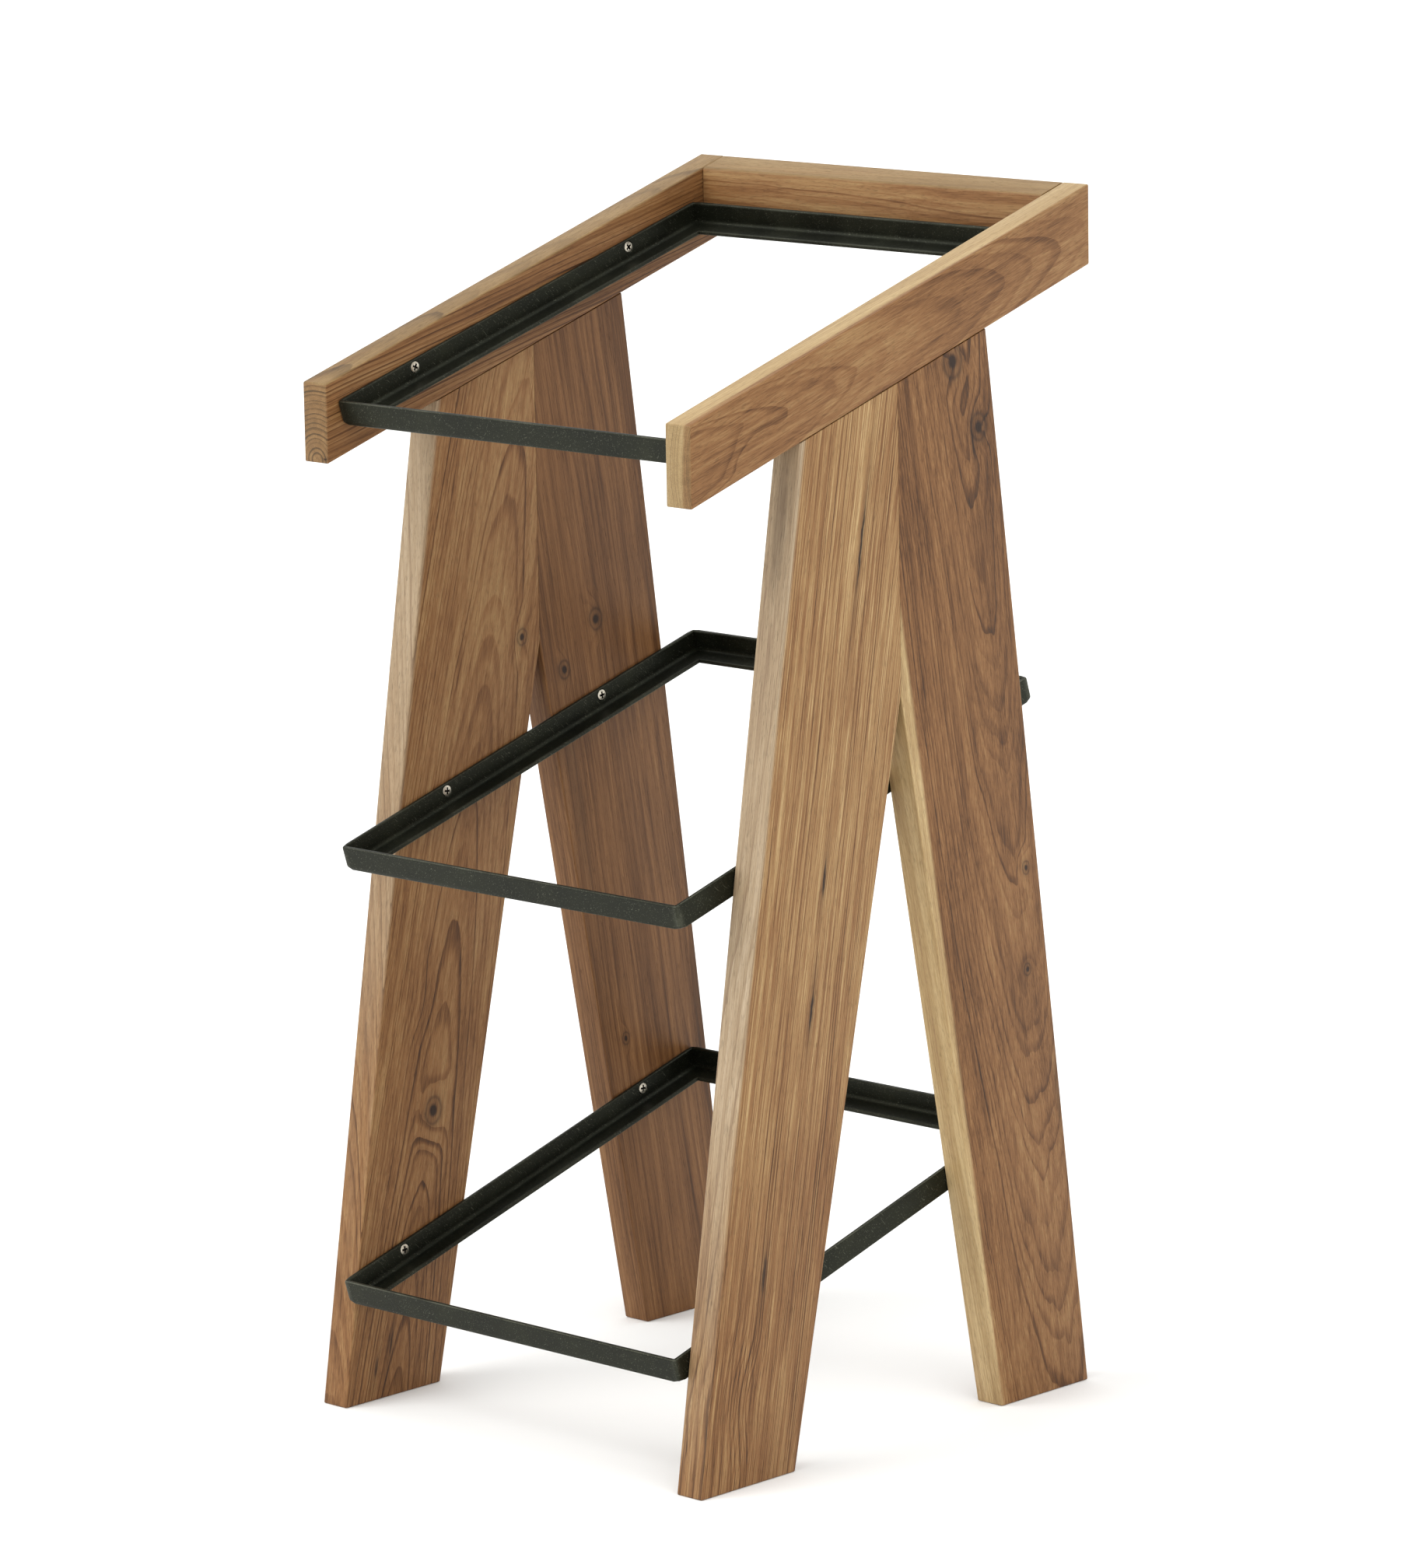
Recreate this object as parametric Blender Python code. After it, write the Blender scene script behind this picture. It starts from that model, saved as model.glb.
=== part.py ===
"""A tiered stand: two timber A-frames, a sloping timber U on top and three tilted steel angle frames."""

import math

import bmesh
import bpy
from mathutils import Matrix, Vector

# Metres. X runs across the stand, +Y to the back, +Z up, floor at Z = 0.

# Fit
GAP = 0.0003  # between faces that touch
BORE_SLACK = 0.00015  # between a round pin and its hole, on the radius

# Overall
STAND_WIDTH = 0.400
BOARD = 0.025  # thickness of every timber board
FOOT_SPREAD = 0.428  # front of the front foot to back of the back foot
FOOT_LENGTH = 0.0995  # each leg's length on the floor
FRONT_LEAN = math.radians(9.0)  # outer edge of the front leg, from upright
BACK_LEAN = math.radians(7.4)  # outer edge of the back leg, from upright
MITRE_Y = 0.0055  # upright plane where the legs meet
MITRE_BEHIND = 0.0105  # the same plane behind the middle of the foot spread
CROTCH_Z = 0.560  # where the legs part

# Timber U
RAIL_TILT = math.radians(17.3)
RAIL_PLUMB = 0.060  # depth of a side rail, measured upright
RAIL_FRONT_Y = -0.2115
RAIL_FRONT_Z = 0.7838  # top of the side rail at its front end

# Steel frames
FRAME_TILT = math.radians(16.7)
FRAME_DEPTH = 0.400  # along the tilt
LEG_OF_ANGLE = 0.019
ANGLE_THICK = 0.003
ANGLE_FILLET = 0.003
TOE_RADIUS = 0.0014
TOP_FRAME_LIFT = 0.0232  # lowest front edge of the top frame above the rail's underside
TOP_FRAME_SETBACK = 0.016  # the same edge behind the rail's front end
BACK_ROOM = 0.0064  # from the top frame's lowest back edge to the back rail
# name: (middle of the depth in front of the mitre plane, height of the lowest front edge)
LEG_FRAMES = {
    "mid_frame": (0.0175, 0.4162),
    "low_frame": (0.0271, 0.0822),
}
# distance of each screw from the middle of its side bar
SCREW_OFFSETS = {"top_frame": 0.120, "mid_frame": 0.088, "low_frame": 0.137}

# Screws: flat heads sunk into the angle
SCREW_UP = 0.0132  # axis above the frame's lower face
HEAD_R = 0.0042
HEAD_RIM = 0.0003  # straight edge of the head
HEAD_CROWN = 0.00025  # rise of the head's middle above the angle
SINK_SLACK = 0.0007  # the countersink's mouth past the head, on the radius
SHANK_R = 0.0019
SCREW_LENGTH = 0.019  # from the angle's face to the tip
POINT_LENGTH = 0.004
TIP_ROOM = 0.001  # hole past the end of a screw or dowel
CROSS_LONG = 0.0046
CROSS_WIDE = 0.0011
CROSS_DEEP = 0.0015
CROSS_TURN = math.radians(30)

# Dowels
DOWEL_R = 0.004
DOWEL_LENGTH = 0.050
SHORT_DOWEL = 0.036
SHORT_DOWEL_IN_RAIL = 0.014
MITRE_DOWEL_SHARES = (0.25, 0.72)  # up the mitre
LEG_DOWEL_SHARES = (0.26, 0.74)  # along each leg top
BACK_DOWEL_SHARES = (0.27, 0.73)  # up the back rail's inner face

# Edges
RAIL_EDGE = 0.0018
LEG_EDGE = 0.0010

ROUND = 24  # sides of a round piece
HALF_WIDTH = STAND_WIDTH / 2
INNER_X = HALF_WIDTH - BOARD
FRAME_HALF = INNER_X - GAP
FOOT_FRONT_Y = MITRE_Y - MITRE_BEHIND - FOOT_SPREAD / 2
FOOT_BACK_Y = FOOT_FRONT_Y + FOOT_SPREAD
TOP_FRAME_Y = RAIL_FRONT_Y + TOP_FRAME_SETBACK
BACK_RAIL_Y = TOP_FRAME_Y + FRAME_DEPTH * math.cos(FRAME_TILT) + BACK_ROOM  # its inner face
RAIL_BACK_Y = BACK_RAIL_Y + BOARD


def clear_scene():
    for obj in list(bpy.data.objects):
        bpy.data.objects.remove(obj, do_unlink=True)


def material(name, colour, rough, metal):
    made = bpy.data.materials.new(name)
    made.use_nodes = True
    shader = made.node_tree.nodes["Principled BSDF"]
    shader.inputs["Base Color"].default_value = (*colour, 1.0)
    shader.inputs["Roughness"].default_value = rough
    shader.inputs["Metallic"].default_value = metal
    made.diffuse_color = (*colour, 1.0)
    return made


def add(name, bm, colour, rough=0.5, metal=0.0):
    bmesh.ops.recalc_face_normals(bm, faces=bm.faces)
    mesh = bpy.data.meshes.new(name)
    bm.to_mesh(mesh)
    bm.free()
    obj = bpy.data.objects.new(name, mesh)
    bpy.context.scene.collection.objects.link(obj)
    mesh.materials.append(material(name, colour, rough, metal))
    return obj


def prism(outline, low, high, soft=(), corners=(), radius=0.0):
    """Extrudes (y, z) points along X. soft lists outline sides, corners the points, whose edges are eased."""
    bm = bmesh.new()
    ends = [[bm.verts.new((x, y, z)) for y, z in outline] for x in (low, high)]
    count = len(outline)
    bm.faces.new(ends[0])
    bm.faces.new(list(reversed(ends[1])))
    for i in range(count):
        j = (i + 1) % count
        bm.faces.new((ends[0][i], ends[0][j], ends[1][j], ends[1][i]))
    eased = [bm.edges.get((end[i], end[(i + 1) % count])) for i in soft for end in ends]
    eased += [bm.edges.get((ends[0][i], ends[1][i])) for i in corners]
    if eased:
        bmesh.ops.bevel(bm, geom=eased, offset=radius, segments=2, profile=0.5, affect="EDGES")
    return bm


def turned(rings):
    """A solid of revolution about Z from (radius, height) rings, lowest first."""
    bm = bmesh.new()
    loops = []
    for radius, height in rings:
        loop = []
        for i in range(ROUND):
            turn = 2 * math.pi * i / ROUND
            loop.append(bm.verts.new((radius * math.cos(turn), radius * math.sin(turn), height)))
        loops.append(loop)
    bm.faces.new(list(reversed(loops[0])))
    bm.faces.new(loops[-1])
    for low, high in zip(loops, loops[1:]):
        for i in range(ROUND):
            j = (i + 1) % ROUND
            bm.faces.new((low[i], low[j], high[j], high[i]))
    return bm


def put(bm, place, direction, spin=0.0):
    """Turns +Z to a direction, after a spin about it, and moves the origin to a place."""
    turn = Vector((0, 0, 1)).rotation_difference(Vector(direction)).to_matrix().to_4x4()
    turn = turn @ Matrix.Rotation(spin, 4, "Z")
    bmesh.ops.transform(bm, matrix=Matrix.Translation(place) @ turn, verts=bm.verts)
    return bm


def cylinder(radius, length, middle, direction):
    half = length / 2
    return put(turned([(radius, -half), (radius, half)]), middle, direction)


def cutter(name, bm):
    obj = add(name, bm, (0.8, 0.2, 0.2))
    obj.hide_render = True
    obj.display_type = "WIRE"
    return obj


def cut(obj, tool):
    step = obj.modifiers.new(tool.name, "BOOLEAN")
    step.operation = "DIFFERENCE"
    step.solver = "EXACT"
    step.object = tool


# Timber lines, all in the Y-Z plane


def rail_top(y):
    return RAIL_FRONT_Z + math.tan(RAIL_TILT) * (y - RAIL_FRONT_Y)


def rail_under(y):
    return rail_top(y) - RAIL_PLUMB


def leg_top(y):
    return rail_under(y) - GAP / math.cos(RAIL_TILT)


def front_leg_top_y():
    """Y where the front leg's outer edge meets the cut along the rail."""
    slope = math.tan(FRONT_LEAN)
    rise = math.tan(RAIL_TILT)
    return (FOOT_FRONT_Y + slope * leg_top(0)) / (1 - slope * rise)


def back_leg_top_y():
    slope = math.tan(BACK_LEAN)
    rise = math.tan(RAIL_TILT)
    return (FOOT_BACK_Y - slope * leg_top(0)) / (1 + slope * rise)


FRONT_TOP_Y = front_leg_top_y()
BACK_TOP_Y = back_leg_top_y()
WALNUT_LEG = (0.30, 0.17, 0.09)
WALNUT_RAIL = (0.36, 0.21, 0.12)
STEEL = (0.035, 0.040, 0.034)
NICKEL = (0.62, 0.60, 0.56)
BEECH = (0.72, 0.55, 0.36)


def legs(side, low, high):
    near = MITRE_Y - GAP / 2
    far = MITRE_Y + GAP / 2
    front = [
        (FOOT_FRONT_Y, 0),
        (FOOT_FRONT_Y + FOOT_LENGTH, 0),
        (near, CROTCH_Z),
        (near, leg_top(near)),
        (FRONT_TOP_Y, leg_top(FRONT_TOP_Y)),
    ]
    back = [
        (FOOT_BACK_Y - FOOT_LENGTH, 0),
        (FOOT_BACK_Y, 0),
        (BACK_TOP_Y, leg_top(BACK_TOP_Y)),
        (far, leg_top(far)),
        (far, CROTCH_Z),
    ]
    made = []
    # the foot, the inner edge and the outer edge of each leg are eased, and its joints are not
    for end, outline in (("front", front), ("back", back)):
        bm = prism(outline, low, high, soft=(0, 1, 4), corners=(0, 1), radius=LEG_EDGE)
        made.append(add(f"{side}_{end}_leg", bm, WALNUT_LEG))
    return made


def side_rail(side, low, high):
    outline = [
        (RAIL_FRONT_Y, rail_under(RAIL_FRONT_Y)),
        (RAIL_BACK_Y, rail_under(RAIL_BACK_Y)),
        (RAIL_BACK_Y, rail_top(RAIL_BACK_Y)),
        (RAIL_FRONT_Y, rail_top(RAIL_FRONT_Y)),
    ]
    sides = range(len(outline))
    bm = prism(outline, low, high, soft=sides, corners=sides, radius=RAIL_EDGE)
    return add(f"{side}_side_rail", bm, WALNUT_RAIL)


def back_rail():
    """Upright, with a level underside and a top planed to the slope of the side rails."""
    floor = rail_under(RAIL_BACK_Y)
    outline = [
        (BACK_RAIL_Y, floor),
        (RAIL_BACK_Y, floor),
        (RAIL_BACK_Y, rail_top(RAIL_BACK_Y)),
        (BACK_RAIL_Y, rail_top(BACK_RAIL_Y)),
    ]
    reach = INNER_X - GAP
    corners = range(len(outline))
    bm = prism(outline, -reach, reach, corners=corners, radius=RAIL_EDGE)
    return add("back_rail", bm, WALNUT_RAIL)


# Dowels


def dowel(name, middle, direction, length, hosts):
    obj = add(name, cylinder(DOWEL_R, length, middle, direction), BEECH, rough=0.7)
    hole = cylinder(DOWEL_R + BORE_SLACK, length + 2 * TIP_ROOM, middle, direction)
    tool = cutter(f"{name}_hole", hole)
    for host in hosts:
        cut(host, tool)
    return obj


def mitre_dowels(side, x, front, back):
    top = leg_top(MITRE_Y)
    for place, share in zip(("lower", "upper"), MITRE_DOWEL_SHARES):
        z = CROTCH_Z + share * (top - CROTCH_Z)
        middle = (x, MITRE_Y, z)
        dowel(f"{side}_mitre_{place}_dowel", middle, (0, 1, 0), DOWEL_LENGTH, (front, back))


def leg_top_dowels(side, x, leg_name, leg, rail, start, end):
    normal = Vector((0, -math.sin(RAIL_TILT), math.cos(RAIL_TILT)))
    for number, share in enumerate(LEG_DOWEL_SHARES, 1):
        y = start + share * (end - start)
        z = (leg_top(y) + rail_under(y)) / 2
        name = f"{side}_{leg_name}_top_dowel_{number}"
        dowel(name, (x, y, z), normal, DOWEL_LENGTH, (leg, rail))


def back_rail_dowels(side, sign, rail, cross):
    y = RAIL_BACK_Y - BOARD / 2
    middle_x = sign * (INNER_X + SHORT_DOWEL_IN_RAIL - SHORT_DOWEL / 2)
    floor = rail_under(RAIL_BACK_Y)
    height = rail_top(BACK_RAIL_Y) - floor
    for place, share in zip(("lower", "upper"), BACK_DOWEL_SHARES):
        z = floor + share * height
        name = f"{side}_back_rail_{place}_dowel"
        dowel(name, (middle_x, y, z), (1, 0, 0), SHORT_DOWEL, (rail, cross))


# Steel frames


def arc(centre, radius, start, end, steps=4):
    """Points of an arc in degrees, both ends included."""
    points = []
    for i in range(steps + 1):
        angle = math.radians(start + (end - start) * i / steps)
        points.append(
            (centre[0] + radius * math.cos(angle), centre[1] + radius * math.sin(angle))
        )
    return points


def angle_outline():
    """(inward, up) points of the equal-leg angle, corner at (0, 0)."""
    leg = LEG_OF_ANGLE
    thick = ANGLE_THICK
    toe = TOE_RADIUS
    inner = thick + ANGLE_FILLET
    return (
        [(0, 0), (leg, 0)]
        + arc((leg - toe, thick - toe), toe, 0, 90)
        + arc((inner, inner), ANGLE_FILLET, 270, 180)
        + arc((thick - toe, leg - toe), toe, 0, 90)
        + [(0, leg)]
    )


def frame_point(base, x, along, up):
    y, z = base
    run = math.cos(FRAME_TILT)
    rise = math.sin(FRAME_TILT)
    return Vector((x, y + along * run - up * rise, z + along * rise + up * run))


def frame_bars(name, base):
    """The four mitred bars of one frame, keyed by side."""
    half_x = FRAME_HALF
    half_d = FRAME_DEPTH / 2
    back_off = GAP / math.sqrt(2)
    outline = angle_outline()
    # side: (half length, point for (signed length, inward, up))
    runs = {
        "front": (half_x, lambda s, a, b: (s, a, b)),
        "back": (half_x, lambda s, a, b: (s, FRAME_DEPTH - a, b)),
        "left": (half_d, lambda s, a, b: (-half_x + a, half_d + s, b)),
        "right": (half_d, lambda s, a, b: (half_x - a, half_d + s, b)),
    }
    made = {}
    for side, (half, spot) in runs.items():
        bm = bmesh.new()
        loops = []
        for sign in (-1, 1):
            loop = []
            for a, b in outline:
                reach = sign * (half - a - back_off)
                loop.append(bm.verts.new(frame_point(base, *spot(reach, a, b))))
            loops.append(loop)
        count = len(outline)
        bm.faces.new(loops[0])
        bm.faces.new(list(reversed(loops[1])))
        for i in range(count):
            j = (i + 1) % count
            bm.faces.new((loops[0][i], loops[0][j], loops[1][j], loops[1][i]))
        made[side] = add(f"{name}_{side}_bar", bm, STEEL, rough=0.45, metal=0.8)
    return made


# Screws


def screw_body():
    """Along +Z, with the angle's face at Z = 0 and a 90 degree cone under the head."""
    cone_end = HEAD_RIM + HEAD_R - SHANK_R
    return turned(
        [
            (SHANK_R * 0.4, -SCREW_LENGTH),
            (SHANK_R, -SCREW_LENGTH + POINT_LENGTH),
            (SHANK_R, -cone_end),
            (HEAD_R, -HEAD_RIM),
            (HEAD_R, 0.0),
            (HEAD_R * 0.75, HEAD_CROWN * 0.75),
            (HEAD_R * 0.40, HEAD_CROWN),
        ]
    )


def screw_hole():
    bore = SHANK_R + BORE_SLACK
    mouth = HEAD_R + SINK_SLACK
    return turned(
        [
            (bore, -SCREW_LENGTH - TIP_ROOM),
            (bore, -(mouth - bore)),
            (mouth, 0.0),
            (mouth, TIP_ROOM),
        ]
    )


def cross():
    """A plus-shaped recess in the head, narrower at the bottom."""
    bm = bmesh.new()
    loops = []
    for height, share in ((-CROSS_DEEP, 0.6), (HEAD_CROWN + TIP_ROOM, 1.0)):
        half = CROSS_LONG / 2 * share
        arm = CROSS_WIDE / 2 * share
        quarter = [(half, -arm), (half, arm), (arm, arm)]
        plus = []
        for step in range(4):
            turn = Matrix.Rotation(math.pi / 2 * step, 2)
            plus += [turn @ Vector(point) for point in quarter]
        loops.append([bm.verts.new((a, b, height)) for a, b in plus])
    count = len(loops[0])
    bm.faces.new(list(reversed(loops[0])))
    bm.faces.new(loops[1])
    for i in range(count):
        j = (i + 1) % count
        bm.faces.new((loops[0][i], loops[0][j], loops[1][j], loops[1][i]))
    return bm


def frame_screws(name, base, bars, hosts):
    offset = SCREW_OFFSETS[name]
    for side, sign in (("left", -1), ("right", 1)):
        inward = (-sign, 0, 0)
        for end, along in (("front", -offset), ("back", offset)):
            face_x = sign * (FRAME_HALF - ANGLE_THICK)
            face = frame_point(base, face_x, FRAME_DEPTH / 2 + along, SCREW_UP)
            full = f"{name}_{side}_{end}_screw"
            screw = add(full, put(screw_body(), face, inward), NICKEL, rough=0.3, metal=1.0)
            cut(screw, cutter(f"{full}_cross", put(cross(), face, inward, CROSS_TURN)))
            tool = cutter(f"{full}_hole", put(screw_hole(), face, inward))
            cut(bars[side], tool)
            cut(hosts[side, end], tool)


def frame_bases():
    """(Y, Z) of each frame's lowest front edge."""
    bases = {"top_frame": (TOP_FRAME_Y, rail_under(TOP_FRAME_Y) + TOP_FRAME_LIFT)}
    half_run = FRAME_DEPTH / 2 * math.cos(FRAME_TILT)
    for name, (before, height) in LEG_FRAMES.items():
        bases[name] = (MITRE_Y - before - half_run, height)
    return bases


def build():
    clear_scene()
    timber = {}
    for side, sign in (("left", -1), ("right", 1)):
        low, high = sorted((sign * INNER_X, sign * HALF_WIDTH))
        timber[side, "front"], timber[side, "back"] = legs(side, low, high)
        timber[side, "rail"] = side_rail(side, low, high)
    cross_rail = back_rail()
    for side, sign in (("left", -1), ("right", 1)):
        x = sign * (HALF_WIDTH - BOARD / 2)
        front = timber[side, "front"]
        back = timber[side, "back"]
        rail = timber[side, "rail"]
        mitre_dowels(side, x, front, back)
        leg_top_dowels(side, x, "front_leg", front, rail, FRONT_TOP_Y, MITRE_Y)
        leg_top_dowels(side, x, "back_leg", back, rail, MITRE_Y, BACK_TOP_Y)
        back_rail_dowels(side, sign, rail, cross_rail)
    for name, base in frame_bases().items():
        bars = frame_bars(name, base)
        hosts = {}
        for side in ("left", "right"):
            for end in ("front", "back"):
                key = "rail" if name == "top_frame" else end
                hosts[side, end] = timber[side, key]
        frame_screws(name, base, bars, hosts)


build()
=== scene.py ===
# %% [markdown]
# # A tiered stand of walnut and blackened steel
# Two timber A-frames carry a sloping timber U, and three tilted frames of steel angle hang
# between them on countersunk screws. Nothing moves, so every piece rides on the one body.
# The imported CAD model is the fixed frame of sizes: each piece below is made where the CAD has
# it, with rounder edges, welded corners, real recesses and the materials of the real stand.

# %% Load the frame
import math

import bmesh
import bpy
from mathutils import Matrix, Vector


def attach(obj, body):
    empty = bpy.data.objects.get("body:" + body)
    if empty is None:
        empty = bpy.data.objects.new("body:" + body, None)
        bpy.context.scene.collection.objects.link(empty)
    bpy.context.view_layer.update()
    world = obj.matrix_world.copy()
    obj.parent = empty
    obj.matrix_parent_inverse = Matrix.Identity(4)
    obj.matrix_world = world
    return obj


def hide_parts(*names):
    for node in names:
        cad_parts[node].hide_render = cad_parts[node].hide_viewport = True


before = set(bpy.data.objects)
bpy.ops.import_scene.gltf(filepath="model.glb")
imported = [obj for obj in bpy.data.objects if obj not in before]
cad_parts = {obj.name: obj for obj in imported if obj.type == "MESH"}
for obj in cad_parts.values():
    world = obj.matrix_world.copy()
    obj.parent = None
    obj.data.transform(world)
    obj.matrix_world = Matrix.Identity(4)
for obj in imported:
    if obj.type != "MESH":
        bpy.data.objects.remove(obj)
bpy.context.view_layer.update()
BODY = "root"
MM = 0.001

# %% [markdown]
# ## Sizes
# The timber is 25 mm thick and the steel is 19 mm equal angle, 3 mm thick. The same few
# numbers drive every piece, so the boards, the frames and the holes through them agree.

# %% Sizes, in metres
GAP = 0.3 * MM
BOARD = 25 * MM
HALF_WIDTH = 200 * MM
INNER_X = HALF_WIDTH - BOARD
FOOT_SPREAD = 428 * MM
FOOT_LENGTH = 99.5 * MM
FRONT_LEAN = math.radians(9.0)
BACK_LEAN = math.radians(7.4)
MITRE_Y = 5.5 * MM
FOOT_FRONT_Y = MITRE_Y - 10.5 * MM - FOOT_SPREAD / 2
FOOT_BACK_Y = FOOT_FRONT_Y + FOOT_SPREAD
CROTCH_Z = 560 * MM
RAIL_TILT = math.radians(17.3)
RAIL_PLUMB = 60 * MM
RAIL_FRONT_Y = -211.5 * MM
RAIL_FRONT_Z = 783.8 * MM
FRAME_TILT = math.radians(16.7)
FRAME_DEPTH = 400 * MM
ANGLE = 19 * MM
THICK = 3 * MM
TOP_FRAME_Y = RAIL_FRONT_Y + 16 * MM
BACK_RAIL_Y = TOP_FRAME_Y + FRAME_DEPTH * math.cos(FRAME_TILT) + 6.4 * MM
RAIL_BACK_Y = BACK_RAIL_Y + BOARD


def rail_top(y):
    return RAIL_FRONT_Z + math.tan(RAIL_TILT) * (y - RAIL_FRONT_Y)


def rail_under(y):
    return rail_top(y) - RAIL_PLUMB


def leg_top(y):
    return rail_under(y) - GAP / math.cos(RAIL_TILT)


def outer_top_y(foot_y, lean, way):
    """Y where a leg's outer edge meets the cut along the rail. way is 1 for the front leg."""
    slope = way * math.tan(lean)
    return (foot_y + slope * leg_top(0)) / (1 - slope * math.tan(RAIL_TILT))


FRONT_TOP_Y = outer_top_y(FOOT_FRONT_Y, FRONT_LEAN, 1)
BACK_TOP_Y = outer_top_y(FOOT_BACK_Y, BACK_LEAN, -1)
HALF_RUN = FRAME_DEPTH / 2 * math.cos(FRAME_TILT)
FRAME_BASES = {
    "top_frame": (TOP_FRAME_Y, rail_under(TOP_FRAME_Y) + 23.2 * MM),
    "mid_frame": (MITRE_Y - 17.5 * MM - HALF_RUN, 416.2 * MM),
    "low_frame": (MITRE_Y - 27.1 * MM - HALF_RUN, 82.2 * MM),
}
BAR_FACE_X = INNER_X - GAP - THICK
SCREW_OFFSETS = {"top_frame": 120 * MM, "mid_frame": 88 * MM, "low_frame": 137 * MM}
print("leg tops at Y", round(FRONT_TOP_Y, 4), round(BACK_TOP_Y, 4))
print("frame bases", {k: (round(y, 4), round(z, 4)) for k, (y, z) in FRAME_BASES.items()})

# %% [markdown]
# ## Camera
# A long lens from the front right, a little above the stand, as a product photographer uses to
# keep the uprights nearly parallel. The camera's axes are worked out from its turn, its dip and
# a slight roll, and put straight into its matrix, which avoids guessing at Euler orders.

# %% Camera
LENS_MM = 160.6
CAMERA_PLACE = Vector((3.599, -3.717, 1.457))
TURN, DIP, ROLL = (math.radians(a) for a in (44.01, 10.78, -0.97))


def camera_matrix(place, turn, dip, roll):
    back = Vector((math.sin(turn) * math.cos(dip), -math.cos(turn) * math.cos(dip), math.sin(dip)))
    level = Vector((math.cos(turn), math.sin(turn), 0))
    rise = back.cross(level)
    right = level * math.cos(roll) + rise * math.sin(roll)
    up = rise * math.cos(roll) - level * math.sin(roll)
    columns = Matrix((right, up, back)).transposed().to_4x4()
    return Matrix.Translation(place) @ columns


lens = bpy.data.cameras.new("long_lens")
lens.lens = LENS_MM
lens.sensor_width = 36
lens.clip_end = 200
camera = bpy.data.objects.new("camera", lens)
bpy.context.scene.collection.objects.link(camera)
camera.matrix_world = camera_matrix(CAMERA_PLACE, TURN, DIP, ROLL)
bpy.context.scene.camera = camera
print("camera at", [round(v, 3) for v in camera.matrix_world.translation])

# %% [markdown]
# ## Colour and node helpers
# Colours are written as the sRGB hex values that a colour picker shows, and one function turns
# them into the linear values that the shaders need. One small function adds any node, and a few
# short ones on top of it name the sums, fades and mixes that the materials are made of.


# %% Helpers for nodes
def colour(hex_code):
    """Linear RGBA of an sRGB hex colour."""
    channels = [int(hex_code[i : i + 2], 16) / 255 for i in (1, 3, 5)]
    linear = [c / 12.92 if c <= 0.04045 else ((c + 0.055) / 1.055) ** 2.4 for c in channels]
    return (*linear, 1.0)


def add_node(tree, kind, settings=None, inputs=None):
    """Adds a node, sets its properties, and links or sets its inputs by name or number."""
    made = tree.nodes.new(kind)
    for key, value in (settings or {}).items():
        setattr(made, key, value)
    for key, value in (inputs or {}).items():
        if isinstance(value, bpy.types.NodeSocket):
            tree.links.new(value, made.inputs[key])
        else:
            made.inputs[key].default_value = value
    return made


def result(tree, kind, settings=None, inputs=None, output=0):
    """Adds a node and returns one output of it."""
    return add_node(tree, kind, settings, inputs).outputs[output]


def new_material(name):
    made = bpy.data.materials.new(name)
    made.use_nodes = True
    return made, made.node_tree, made.node_tree.nodes["Principled BSDF"]


def object_point(tree):
    return result(tree, "ShaderNodeTexCoord", output="Object")


def maths(tree, operation, *values):
    return result(tree, "ShaderNodeMath", {"operation": operation}, dict(enumerate(values)))


def vector_maths(tree, operation, *values, output="Vector"):
    inputs = dict(enumerate(values))
    return result(tree, "ShaderNodeVectorMath", {"operation": operation}, inputs, output)


def sum_of(tree, first, second, factor=1.0):
    """first + second * factor, as one node."""
    return maths(tree, "MULTIPLY_ADD", second, factor, first)


def multiply(tree, first, second):
    return maths(tree, "MULTIPLY", first, second)


def clamped(tree, value):
    return result(tree, "ShaderNodeClamp", inputs={"Value": value})


def fade(tree, value, start, end, low=1.0, high=0.0, kind="SMOOTHSTEP"):
    """low at the start and high at the end, with an eased run between them."""
    inputs = {"Value": value, "From Min": start, "From Max": end, "To Min": low, "To Max": high}
    return result(tree, "ShaderNodeMapRange", {"interpolation_type": kind}, inputs)


def stretched(tree, vector, long, wide):
    """The vector divided by a length along the grain and a width across it."""
    return vector_maths(tree, "MULTIPLY", vector, (1 / long, 1 / wide, 1 / wide))


def noise_of(tree, vector, detail=2.0, rough=0.5):
    inputs = {"Vector": vector, "Scale": 1.0, "Detail": detail, "Roughness": rough}
    return add_node(tree, "ShaderNodeTexNoise", inputs=inputs).outputs


def ramp_of(tree, factor, stops):
    ramp = add_node(tree, "ShaderNodeValToRGB", inputs={"Fac": factor})
    elements = ramp.color_ramp.elements
    while len(elements) < len(stops):
        elements.new(0.5)
    for element, (place, code) in zip(elements, stops):
        element.position = place
        element.color = colour(code)
    return ramp.outputs["Color"]


UNDER, OVER, MIXED = 6, 7, 2  # the Mix node's two colour inputs and its colour output


def mixed(tree, share, under, over, blend="MIX"):
    """The colour under, with that share of the colour over on it."""
    settings = {"data_type": "RGBA", "blend_type": blend}
    inputs = {"Factor": share, UNDER: under, OVER: over}
    return result(tree, "ShaderNodeMix", settings, inputs, MIXED)


def roughen(tree, shader, strength, depth, height):
    """Gives the shader a relief of that depth, from a height of 0 to 1."""
    inputs = {"Strength": strength, "Distance": depth, "Height": height}
    tree.links.new(result(tree, "ShaderNodeBump", inputs=inputs), shader.inputs["Normal"])


print("helpers ready")

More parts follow.
